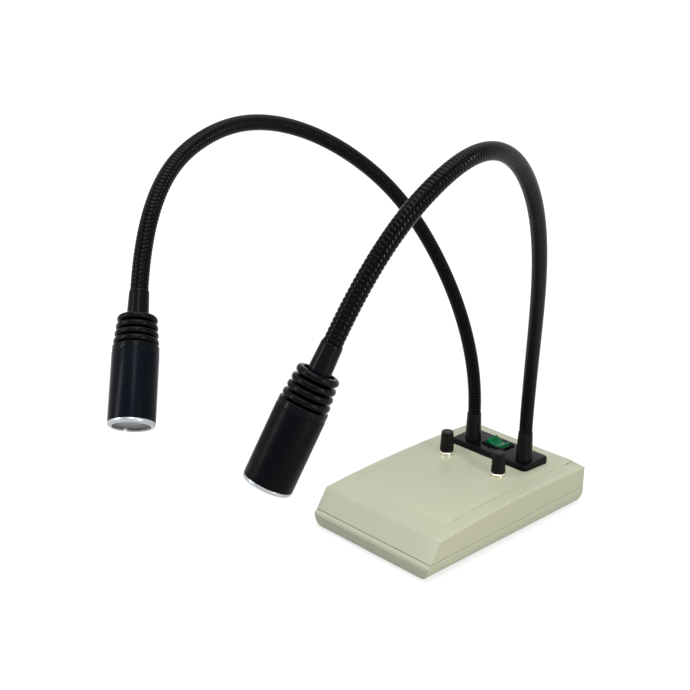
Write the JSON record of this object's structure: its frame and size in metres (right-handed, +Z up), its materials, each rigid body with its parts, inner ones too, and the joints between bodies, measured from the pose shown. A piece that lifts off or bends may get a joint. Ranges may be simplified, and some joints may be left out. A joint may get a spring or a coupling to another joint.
{
  "type": "gooseneck illuminator",
  "caption": "Bench illuminator: low case with dimmer knobs and a rocker switch, and long flexible necks that carry finned cylindrical lamp heads.",
  "frame": {"origin": "on the desk, under the middle of the case, at the underside of its rubber sheet", "axes": "+X to the right of the user, +Y to the rear of the case, +Z up; the lamp heads reach over the front towards -Y"},
  "size_m": [0.2157, 0.41, 0.3288],
  "materials": {
    "case_plastic": "ivory moulded plastic with a fine satin grain",
    "base_rubber": "dark non-slip rubber",
    "steel": "plain steel",
    "screw_steel": "zinc plated steel",
    "panel_black": "glossy black plastic",
    "switch_black": "black plastic",
    "terminal_brass": "tinned brass tabs",
    "rocker_green": "translucent green plastic",
    "knob_black": "black plastic with fine flutes",
    "nickel": "bright nickel",
    "dimmer_case": "stamped dimmer housing",
    "board_green": "glass fibre circuit board",
    "board_parts": "electronic components",
    "bush_black": "black moulded bush",
    "neck_black": "spiral metal hose, glossy black",
    "lead_sheath": "lead insulation",
    "head_black": "black anodised aluminium",
    "barrel_graphite": "satin bluish black anodised aluminium",
    "bezel_silver": "bright silver ring",
    "reflector_silver": "vacuum metallised reflector",
    "lens_glass": "clear glass",
    "led_yellow": "phosphor coated light source"
  },
  "bodies": {
    "base": {"base_pad": "base_rubber", "lower_case": "case_plastic", "upper_case": "case_plastic", "case_screws": "screw_steel", "ballast_plate": "steel", "inner_screws": "screw_steel", "control_panel": "panel_black", "switch_body": "switch_black", "switch_terminals": "terminal_brass", "potentiometers": "dimmer_case", "knob_nuts": "nickel", "driver_board": "board_green", "board_parts": "board_parts", "dc_jack": "switch_black", "dc_jack_pin": "nickel", "dc_jack_nut": "nickel", "left_root_bush": "bush_black", "right_root_bush": "bush_black", "neck_nipples": "terminal_brass", "neck_lock_nuts": "nickel", "lamp_leads": "lead_sheath", "left_bend_1": "neck_black", "right_bend_1": "neck_black"},
    "rocker": {"rocker": "rocker_green"},
    "left_dimmer_knob": {"left_knob": "knob_black", "left_pot_shaft": "nickel"},
    "left_arm_1": {"left_link_1": "neck_black", "left_bend_2": "neck_black"},
    "left_arm_2": {"left_link_2": "neck_black", "left_bend_3": "neck_black"},
    "left_arm_3": {"left_link_3": "neck_black", "left_bend_4": "neck_black"},
    "left_arm_4": {"left_link_4": "neck_black", "left_bend_5": "neck_black"},
    "left_head": {"left_sleeve": "head_black", "left_finned_cap": "head_black", "left_barrel": "barrel_graphite", "left_bezel": "bezel_silver", "left_reflector": "reflector_silver", "left_lens": "lens_glass", "left_led_board": "board_green", "left_led_emitter": "led_yellow"},
    "right_dimmer_knob": {"right_knob": "knob_black", "right_pot_shaft": "nickel"},
    "right_arm_1": {"right_link_1": "neck_black", "right_bend_2": "neck_black"},
    "right_arm_2": {"right_link_2": "neck_black", "right_bend_3": "neck_black"},
    "right_arm_3": {"right_link_3": "neck_black", "right_bend_4": "neck_black"},
    "right_arm_4": {"right_link_4": "neck_black", "right_bend_5": "neck_black"},
    "right_head": {"right_sleeve": "head_black", "right_finned_cap": "head_black", "right_barrel": "barrel_graphite", "right_bezel": "bezel_silver", "right_reflector": "reflector_silver", "right_lens": "lens_glass", "right_led_board": "board_green", "right_led_emitter": "led_yellow"}
  },
  "joints": [
    {"name": "rocker_tilt", "type": "hinge", "parent": "base", "child": "rocker", "pos_m": [-0.004, 0.0575, 0.0398], "axis": [0, 1, 0], "range_deg": [-20, 0]},
    {"name": "left_knob_turn", "type": "hinge", "parent": "base", "child": "left_dimmer_knob", "pos_m": [-0.026, 0.021, 0.04], "axis": [0, 0, 1], "range_deg": [-150, 150]},
    {"name": "right_knob_turn", "type": "hinge", "parent": "base", "child": "right_dimmer_knob", "pos_m": [0.026, 0.021, 0.04], "axis": [0, 0, 1], "range_deg": [-150, 150]},
    {"name": "left_root_bend", "type": "hinge", "parent": "base", "child": "left_arm_1", "pos_m": [-0.02657, 0.05028, 0.09322], "axis": [0.9569, -0.2903, 0.0036], "range_deg": [-30, 20], "deforming": ["left_bend_1"]},
    {"name": "left_lower_sway", "type": "hinge", "parent": "left_arm_1", "child": "left_arm_2", "pos_m": [-0.03784, 0.01302, 0.19748], "axis": [0.0751, 0.8615, 0.5022], "range_deg": [-20, 20], "deforming": ["left_bend_2"]},
    {"name": "left_crown_bend", "type": "hinge", "parent": "left_arm_2", "child": "left_arm_3", "pos_m": [-0.05224, -0.06306, 0.28029], "axis": [0.961, 0.0732, 0.2666], "range_deg": [-30, 30], "deforming": ["left_bend_3"]},
    {"name": "left_upper_sway", "type": "hinge", "parent": "left_arm_3", "child": "left_arm_4", "pos_m": [-0.04988, -0.17075, 0.31207], "axis": [-0.3772, -0.1301, 0.917], "range_deg": [-20, 20], "deforming": ["left_bend_4"]},
    {"name": "left_head_tilt", "type": "hinge", "parent": "left_arm_4", "child": "left_head", "pos_m": [-0.01542, -0.26049, 0.26282], "axis": [0.8859, 0.0838, 0.4563], "range_deg": [-35, 35], "deforming": ["left_bend_5"]},
    {"name": "right_root_bend", "type": "hinge", "parent": "base", "child": "right_arm_1", "pos_m": [0.02957, 0.04803, 0.0926], "axis": [0.7848, 0.6197, -0.0068], "range_deg": [-30, 20], "deforming": ["right_bend_1"]},
    {"name": "right_lower_sway", "type": "hinge", "parent": "right_arm_1", "child": "right_arm_2", "pos_m": [0.06604, 0.0018, 0.18714], "axis": [-0.1873, 0.7814, 0.5952], "range_deg": [-20, 20], "deforming": ["right_bend_2"]},
    {"name": "right_crown_bend", "type": "hinge", "parent": "right_arm_2", "child": "right_arm_3", "pos_m": [0.10813, -0.06337, 0.27108], "axis": [0.9309, 0.166, -0.3254], "range_deg": [-30, 30], "deforming": ["right_bend_3"]},
    {"name": "right_upper_sway", "type": "hinge", "parent": "right_arm_3", "child": "right_arm_4", "pos_m": [0.14412, -0.15623, 0.32331], "axis": [0.273, 0.1499, 0.9503], "range_deg": [-20, 20], "deforming": ["right_bend_4"]},
    {"name": "right_head_tilt", "type": "hinge", "parent": "right_arm_4", "child": "right_head", "pos_m": [0.14696, -0.24822, 0.27101], "axis": [0.9546, 0.1628, -0.2494], "range_deg": [-35, 35], "deforming": ["right_bend_5"]}
  ]
}
